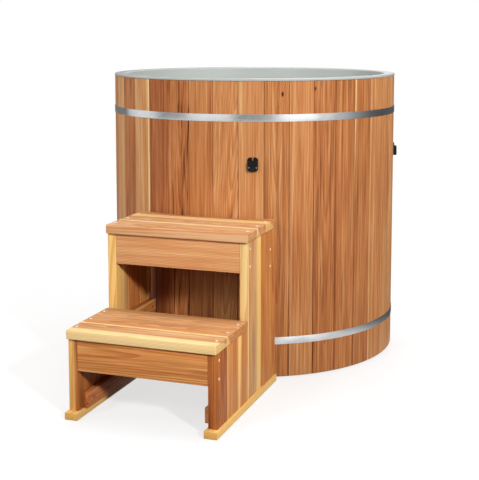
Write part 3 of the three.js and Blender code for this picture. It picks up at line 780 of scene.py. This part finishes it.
def buildValve():
    low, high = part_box("drain_valve_body")
    centre = Vector(joints["valve_turn"]["pos_m"])
    inlet, outlet = low.y - centre.y, high.y - centre.y
    shoulder = outlet - valve["outletLength"]
    pipeEnd = -valve["ball"] - 0.012
    cavity = valve["ball"] + valve["ballGap"]
    socketEnd = inlet + valve["socketLength"]
    shell = turned(
        [(valve["pipeFit"], inlet), (valve["socket"], inlet), (valve["socket"], socketEnd),
         (valve["housing"] - 0.002, socketEnd + 0.002), (valve["housing"], -0.006), (valve["housing"], 0.010),
         (valve["outlet"] + 0.001, shoulder), (valve["outlet"], shoulder + 0.004), (valve["outlet"], outlet - 0.009),
         (valve["collar"], outlet - 0.008), (valve["collar"], outlet), (valve["bore"], outlet),
         (valve["bore"], cavity), (valve["bore"], pipeEnd + 0.0003), (valve["pipeFit"], pipeEnd + 0.0003)],
        valve["steps"], {1: (0.0015, 3), 2: (0.0015, 3), 4: (0.004, 3), 5: (0.006, 4), 9: (0.001, 2), 10: (0.0012, 3)})
    neck = cylinder(valve["neck"], 0.0, valve["neckRise"], 32)
    rounded(neck, [e for e in neck.edges if all(v.co.z > valve["neckRise"] - 1e-6 for v in e.verts)], 0.0012)
    hollow = bmesh.new()
    bmesh.ops.create_uvsphere(hollow, u_segments=32, v_segments=16, radius=cavity)
    stemHole = cylinder(valve["stem"] + 0.0003, 0, 0.05, 24)
    outletBore = moved(cylinder(valve["bore"], 0, 0.1, 40), Matrix.Rotation(-math.pi / 2, 4, "X"))
    moved(shell, Matrix.Rotation(-math.pi / 2, 4, "X"))
    body = carved(carved(shell, neck, operation="UNION"), hollow, stemHole, outletBore)
    place("drain_valve_housing", moved(body, Matrix.Translation(centre)), pipePlastic, "tub", "pipe_plastic",
          "drain_valve_body")


def buildLever():
    low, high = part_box("drain_valve_lever")
    centre = Vector(joints["valve_turn"]["pos_m"])
    foot = high.z - lever["thickness"] - centre.z
    half = lever["width"] / 2
    bar = outlineFace([(-lever["heel"], -half), (lever["length"], -half), (lever["length"], half),
                       (-lever["heel"], half)], {corner: (lever["corner"], 6) for corner in range(4)})
    pushedOut(bar, (0, -lever["thickness"], 0))
    moved(bar, Matrix.Rotation(-math.pi / 2, 4, "X"), Matrix.Translation((0, 0, foot)))
    bmesh.ops.recalc_face_normals(bar, faces=bar.faces)
    rounded(bar, [e for e in bar.edges if e.calc_face_angle(0) > 1.2], lever["edge"], 3)
    ball = bmesh.new()
    bmesh.ops.create_uvsphere(ball, u_segments=32, v_segments=16, radius=valve["ball"])
    stem = cylinder(valve["stem"], 0, foot + 0.001, 24)
    bore = moved(cylinder(valve["bore"], -0.03, 0.03, 32), Matrix.Rotation(math.pi / 2, 4, "Y"))
    whole = carved(carved(bar, stem, ball, operation="UNION"), bore)
    place("drain_valve_handle", moved(whole, Matrix.Translation(centre)), blackPlastic, "valve_lever",
          "black_plastic", "drain_valve_lever")


buildDrainFitting()
buildValve()
buildLever()
print("drain and valve fitted")


# Base under the liner: the bearers, and the nodes that stay as they are
base = {"ease": 0.002, "looks": {"front": {"tone": 0.6}, "centre": {"tone": 0.5}, "back": {"tone": 0.66}}}


def buildBase():
    for number, (spot, look) in enumerate(base["looks"].items()):
        low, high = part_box(f"bearer_{spot}")
        blank = boxBlank(low, high)
        board(f"base_bearer_{spot}", rounded(blank, blank.edges[:], base["ease"]), look, 300 + number,
              (low + high) / 2, "yxz", "tub", "cedar", f"bearer_{spot}")
    for node, material in (("floor_deck", cedarDeck), ("insulation_jacket", rigidFoam), ("drain_pipe", pipePlastic)):
        frame["nodes"][node].material_slots[0].material = material


buildBase()


# Step: treads, aprons, rails and cleats, one board each
stepEase = {"tread": 0.0032, "board": 0.0016, "rail": 0.0022}
treadLooks = {
    "upper_tread_front": {"tone": 0.10, "veined": 0.1, "rings": 0.0024, "pith": (-0.01, -0.08), "lean": (0.01, 0.02),
                          "tint": creamy},
    "upper_tread_middle": {"tone": 0.12, "veined": 0.2, "rings": 0.0024, "pith": (0.0, -0.06), "lean": (0.01, 0.03),
                           "tint": creamy, "sap": [(-0.8, -0.6, 0.0198)]},
    "upper_tread_back": {"tone": 0.18, "veined": 0.2, "rings": 0.0024, "pith": (0.09, -0.04),
                         "sap": [(-0.5, -0.85, -0.009)]},
    "lower_tread_front": {"tone": 0.24, "veined": 0.15, "rings": 0.0024, "pith": (0.03, -0.07), "lean": (0.004, 0.02),
                          "tint": (1.02, 1.12, 1.26), "sap": [(-0.3, -0.954, -0.0097)]},
    "lower_tread_middle": {"tone": 0.20, "veined": 0.2, "rings": 0.0024, "pith": (0.0, -0.05), "lean": (0.01, 0.03),
                           "sap": [(-0.8, -0.6, 0.0222)]},
    "lower_tread_back": {"tone": 0.22, "veined": 0.15, "rings": 0.0024, "pith": (-0.02, -0.06), "lean": (0.008, 0.02)},
}
hollowBack = 0.836  # radius of the upper tread's back edge, which follows the barrel loosely


def treadBlank(node):
    low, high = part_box(node)
    blank = boxBlank(low, high)
    if node == "step_upper_tread_back":
        long = [e for e in blank.edges if abs(e.verts[0].co.x - e.verts[1].co.x) > 0.1]
        bmesh.ops.subdivide_edges(blank, edges=long, cuts=23, use_grid_fill=True)
        middleBack = high.y - hollowBack + math.sqrt(hollowBack ** 2 - high.x ** 2)
        for vert in blank.verts:
            if vert.co.y > (low.y + high.y) / 2:
                vert.co.y = middleBack + hollowBack - math.sqrt(hollowBack ** 2 - vert.co.x ** 2)
    corners = [e for e in blank.edges if e.calc_face_angle(0) > 0.9]
    return rounded(blank, corners, stepEase["tread"], 3), (low + high) / 2


def buildTreads():
    for number, (spot, look) in enumerate(treadLooks.items()):
        blank, middle = treadBlank(f"step_{spot}")
        board(f"{spot}_board", blank, look, 400 + number, middle, "yxz", "step", "cedar", f"step_{spot}")


buildTreads()

crossLooks = {
    "upper_apron": {"tone": 0.15, "veined": 0.0, "figure": 0.35, "pith": (0.2, -0.05), "axes": "zxy"},
    "lower_apron": {"tone": 0.36, "veined": 0.35, "pith": (0.016, 0.04), "lean": (0.008, 0.015), "axes": "zxy",
                    "tint": orange},
    "back_rail": {"tone": 0.6, "axes": "zxy"},
    "left_low_cleat": {"tone": 0.5, "axes": "zyx", "tint": reddish},
    "right_low_cleat": {"tone": 0.1, "axes": "zyx"},
    "left_middle_cleat": {"tone": 0.38, "axes": "zyx", "tint": orange},
    "right_middle_cleat": {"tone": 0.55, "axes": "zyx"},
    "left_foot_rail": {"tone": 0.2, "veined": 0.0, "axes": "xyz", "tint": golden, "sap": [(0, 1, -0.02)]},
    "right_foot_rail": {"tone": 0.2, "veined": 0.0, "axes": "xyz", "tint": golden, "sap": [(0, 1, -0.02)]},
}


def buildCrossBoards():
    for number, (spot, look) in enumerate(crossLooks.items()):
        look = dict(look)
        axes = look.pop("axes")
        low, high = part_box(f"step_{spot}")
        blank = boxBlank(low, high)
        ease = stepEase["rail"] if "foot" in spot else stepEase["board"]
        slot = "pale_cedar" if "foot" in spot or "cleat" in spot else "cedar"
        board(f"{spot}_board", rounded(blank, blank.edges[:], ease), look, 420 + number, (low + high) / 2, axes,
              "step", slot, f"step_{spot}")


buildCrossBoards()

# Side panels: three upright boards each, listed from the front
panelJoint = 0.0004
panelLooks = {
    "right_tall_panel": [
        {"tone": 0.16, "veined": 0.3, "pith": (0.1, 0.03), "tint": (0.9, 0.92, 0.91), "sap": [(-1, 0, 0.041), (1, 0, 0.031)]},
        {"tone": 0.36, "veined": 0.2, "pith": (-0.1, 0.03), "tint": orange, "sap": [(-1, 0, 0.016)]},
        {"tone": 0.44, "veined": 0.3, "pith": (0.02, -0.06), "tint": orange},
    ],
    "right_short_panel": [
        {"tone": 0.68, "veined": 0.8, "pith": (0.0, -0.05), "lean": (0.004, 0.02), "tint": (1, 0.93, 0.7),
         "sap": [(1, 0, 0.0385)]},
        {"tone": 0.32, "veined": 0.1, "pith": (0.1, -0.03), "tint": (1, 0.95, 0.78), "sap": [(1, 0, 0.042)]},
        {"tone": 0.34, "veined": 0.15, "pith": (-0.08, -0.04), "tint": (1, 0.95, 0.78),
         "sap": [(1, 0, 0.0375), (-1, 0, 0.026, 0.05)]},
    ],
    "left_tall_panel": [
        {"tone": 0.0, "veined": 0.2, "pith": (0.1, 0.03), "tint": golden, "sap": [(-1, 0, -0.012)]},
        {"tone": 0.42, "veined": 0.3, "pith": (-0.1, 0.03), "tint": orange, "sap": [(1, 0, 0.0415)]},
        {"tone": 0.42, "veined": 0.2, "pith": (0.02, -0.06), "tint": golden, "sap": [(1, 0, 0.006)]},
    ],
    "left_short_panel": [
        {"tone": 0.40, "veined": 0.5, "pith": (0.1, 0.03), "tint": (0.80, 0.65, 0.45), "sap": [(-1, -0.6, 0.043)]},
        {"tone": 0.6, "veined": 0.2, "pith": (-0.1, 0.03), "tint": reddish},
        {"tone": 0.5, "veined": 0.3, "pith": (0.02, -0.06)},
    ],
}


def buildPanels():
    for panelNumber, (panel, looks) in enumerate(panelLooks.items()):
        low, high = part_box(f"step_{panel}")
        width = (high.y - low.y) / len(looks)
        for number, look in enumerate(looks):
            start = low.y + number * width + (panelJoint / 2 if number else 0)
            end = low.y + (number + 1) * width - (panelJoint / 2 if number + 1 < len(looks) else 0)
            boardLow, boardHigh = Vector((low.x, start, low.z)), Vector((high.x, end, high.z))
            blank = boxBlank(boardLow, boardHigh)
            board(f"{panel}_board_{number + 1}", rounded(blank, blank.edges[:], stepEase["board"]), look,
                  440 + 10 * panelNumber + number, (boardLow + boardHigh) / 2, "yzx", "step", "cedar", f"step_{panel}")


buildPanels()

# Screws: through the treads into the side panels, and through the panels into the cross boards
stepScrew = {"radius": 0.0042, "panelInset": 0.015, "treadFront": 0.045, "apronSpread": 0.0285, "apronInset": 0.014}


def buildStepScrews():
    heads, cleatHeads = [], []

    def drive(point, normal, group):
        turn = Vector((0, -1, 0)).rotation_difference(normal).to_matrix().to_4x4()
        group.append(moved(screwHead(stepScrew["radius"]), turn, Matrix.Translation(point)))

    for spot in treadLooks:
        low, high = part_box(f"step_{spot}")
        middle = low.y + (0.038 if spot == "upper_tread_back" else stepScrew["treadFront"])
        for side in (-1, 1):
            drive(Vector((side * (high.x - stepScrew["panelInset"]), middle, high.z)), Vector((0, 0, 1)), heads)
    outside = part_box("step_right_tall_panel")[1].x
    for cross in ("upper_apron", "lower_apron", "back_rail"):
        low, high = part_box(f"step_{cross}")
        for side in (-1, 1):
            for lift in (-stepScrew["apronSpread"], stepScrew["apronSpread"]):
                point = Vector((side * outside, (low.y + high.y) / 2, (low.z + high.z) / 2 + lift))
                drive(point, Vector((side, 0, 0)), heads)
    for side, spot in ((1, "left_low_cleat"), (-1, "right_low_cleat"), (1, "left_middle_cleat"),
                       (-1, "right_middle_cleat")):
        low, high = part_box(f"step_{spot}")
        for share in (0.07, 0.26, 0.45, 0.63, 0.82, 0.95):
            point = Vector((high.x if side > 0 else low.x, low.y + share * (high.y - low.y), (low.z + high.z) / 2))
            drive(point, Vector((side, 0, 0)), cleatHeads)
    place("step_screws", gathered(*heads), screwZinc, "step", "lock_steel")
    place("cleat_screws", gathered(*cleatHeads), lockBlack, "step", "lock_steel")


buildStepScrews()
print("step built:", len(treadLooks) + len(crossLooks) + 3 * len(panelLooks), "boards")


# Stage: a pale floor that turns to plain white away from the object. It sends less light back than it shows.
floorStage = {"radius": 9.0, "level": -0.0005, "whiteFrom": 0.8, "whiteAt": 1.9, "leastWhite": 0.7,
              "shown": paint(250, 250, 250), "bounce": paint(116, 116, 116), "centre": (0, 0.25, 0)}


def buildFloor():
    bm = bmesh.new()
    bmesh.ops.create_circle(bm, cap_ends=True, segments=96, radius=floorStage["radius"])
    bmesh.ops.translate(bm, vec=(0, 0, floorStage["level"]), verts=bm.verts)
    mesh = bpy.data.meshes.new("studio_floor")
    bm.to_mesh(mesh)
    bm.free()
    material, shader, make, join = newMaterial("studio_floor")
    rays = make("LightPath")
    seen = calc(make, "MAXIMUM", rays.outputs["Is Camera Ray"], rays.outputs["Is Glossy Ray"])
    seen = calc(make, "MAXIMUM", seen, rays.outputs["Is Transmission Ray"])
    join(blended(make, seen, floorStage["bounce"], floorStage["shown"]), shader.inputs["Base Color"])
    shader.inputs["Roughness"].default_value = 0.9
    shader.inputs["Specular IOR Level"].default_value = 0.0
    where = make("TexCoord").outputs["Object"]
    centred = make("VectorMath", {0: where, 1: floorStage["centre"]}, operation="ADD").outputs[0]
    away = make("VectorMath", {0: centred}, operation="LENGTH").outputs["Value"]
    whiter = eased(make, away, floorStage["whiteFrom"], floorStage["whiteAt"], floorStage["leastWhite"], 1.0)
    glow = make("Emission", {"Color": (1, 1, 1, 1), "Strength": 1.0}).outputs[0]
    mixed = make("MixShader", {0: calc(make, "MULTIPLY", whiter, seen), 1: shader.outputs[0], 2: glow}).outputs[0]
    join(mixed, material.node_tree.nodes["Material Output"].inputs["Surface"])
    mesh.materials.append(material)
    floor = bpy.data.objects.new("studio_floor", mesh)
    bpy.context.scene.collection.objects.link(floor)


buildFloor()

# Grey flags and bright cards round the stage that only reflections see: (from, to) degrees round from the front,
# the level, and how near to the barrel's middle it comes along the floor
flags = {"radius": 3.2, "height": 2.6, "lift": 0.002,
         "panels": {"back_left": (-160, -96, 0.22, 3.0), "far_left": (-86, -63, 1.2, 3.0), "left": (-58, -32, 0.42, 3.0),
                    "front_left": (-31, 2, 1.4, 3.0), "front": (6, 31, 0.4, 3.0),
                    "front_right": (38, 66, 2.0, 3.0), "right_1": (66, 78, 1.25, 3.0),
                    "right_2": (78, 91, 0.76, 0.56), "right_3": (91, 104, 0.43, 0.56),
                    "right_4": (104, 118, 0.23, 0.56), "back_right": (118, 180, 0.12, 0.56)}}


def buildFlags():
    for name, (start, end, grey, near) in flags["panels"].items():
        bm = bmesh.new()
        corners = [(near, flags["lift"]), (flags["radius"], flags["lift"]), (flags["radius"], flags["height"])]
        verts = [bm.verts.new((0, -away, level)) for away, level in corners]
        edges = [bm.edges.new(pair) for pair in zip(verts, verts[1:])]
        bmesh.ops.rotate(bm, cent=origin, matrix=Matrix.Rotation(math.radians(start), 3, "Z"), verts=verts)
        bmesh.ops.spin(bm, geom=verts + edges, cent=origin, axis=upAxis, angle=math.radians(end - start), steps=16)
        mesh = bpy.data.meshes.new(f"flag_{name}")
        bm.to_mesh(mesh)
        bm.free()
        material, shader, make, join = newMaterial(f"flag_{name}")
        shader.inputs["Base Color"].default_value = (0, 0, 0, 1)
        shader.inputs["Specular IOR Level"].default_value = 0.0
        shader.inputs["Emission Color"].default_value = (grey, grey, grey, 1)
        shader.inputs["Emission Strength"].default_value = 1.0
        mesh.materials.append(material)
        flag = bpy.data.objects.new(f"flag_{name}", mesh)
        flag.visible_camera = flag.visible_diffuse = flag.visible_shadow = flag.visible_transmission = False
        bpy.context.scene.collection.objects.link(flag)


buildFlags()

# World and lamps: the key from the front right, two front fills, and soft light from the sides, above and behind.
# Reflections see the top lamp, and flags and cards instead of the others.
worldLight = {"ambient": 0.08, "background": 1.0}
lamps = {
    "key": {"at": (5.02, -4.94, 3.36), "aim": (0, -0.4, 0.5), "size": 0.6, "power": 412},
    "fill": {"at": (-2.24, -6.54, 4.08), "aim": (0, -0.4, 0.5), "size": 1.44, "power": 142},
    "low_fill": {"at": (-2.4, -6.48, 2.5), "aim": (0, -0.4, 0.5), "size": 0.8, "power": 41},
    "left": {"at": (-6.18, -2.38, 3.54), "aim": (0, -0.4, 0.5), "size": 3.2, "power": 172},
    "right": {"at": (6.3, 0.38, 2.9), "aim": (0, -0.4, 0.5), "size": 3.2, "power": 138},
    "top": {"at": (0.0, 1.2, 6.74), "aim": (0, -0.4, 0.5), "size": 4.0, "power": 222},
    "back": {"at": (-2.08, 6.6, 3.48), "aim": (0, 0.2, 0.6), "size": 4.0, "power": 240},
}


def buildLights():
    world = bpy.data.worlds.new("studio")
    bpy.context.scene.world = world
    world.use_nodes = True
    tree = world.node_tree
    rays = tree.nodes.new("ShaderNodeLightPath")
    shown = rays.outputs["Is Camera Ray"]
    for kind in ("Is Glossy Ray", "Is Transmission Ray"):
        either = tree.nodes.new("ShaderNodeMath")
        either.operation = "MAXIMUM"
        tree.links.new(shown, either.inputs[0])
        tree.links.new(rays.outputs[kind], either.inputs[1])
        shown = either.outputs[0]
    strength = tree.nodes.new("ShaderNodeMapRange")
    tree.links.new(shown, strength.inputs["Value"])
    strength.inputs["To Min"].default_value = worldLight["ambient"]
    strength.inputs["To Max"].default_value = worldLight["background"]
    sky = tree.nodes["Background"]
    sky.inputs["Color"].default_value = (1, 1, 1, 1)
    tree.links.new(strength.outputs[0], sky.inputs["Strength"])
    for name, spec in lamps.items():
        light = bpy.data.lights.new(f"{name}_lamp", "AREA")
        light.size = spec["size"]
        light.energy = spec["power"]
        lamp = bpy.data.objects.new(f"{name}_lamp", light)
        lamp.visible_glossy = name == "top"
        lamp.location = spec["at"]
        lamp.rotation_euler = (Vector(spec["aim"]) - Vector(spec["at"])).to_track_quat("-Z", "Y").to_euler()
        bpy.context.scene.collection.objects.link(lamp)


buildLights()

view = {"at": (1.3288, -3.8821, 1.2019), "turn": 19.695, "pitch": 6.484, "lens": 80.267, "shift": -0.19}


def buildCamera():
    camera = bpy.data.cameras.new("photo_camera")
    camera.lens = view["lens"]
    camera.sensor_width = 36
    camera.shift_y = view["shift"]
    holder = bpy.data.objects.new("photo_camera", camera)
    holder.location = view["at"]
    holder.rotation_euler = (math.radians(90 - view["pitch"]), 0, math.radians(view["turn"]))
    bpy.context.scene.collection.objects.link(holder)
    bpy.context.scene.camera = holder


buildCamera()
bpy.context.scene.view_settings.view_transform = "Standard"
print("stage, lamps and camera set")
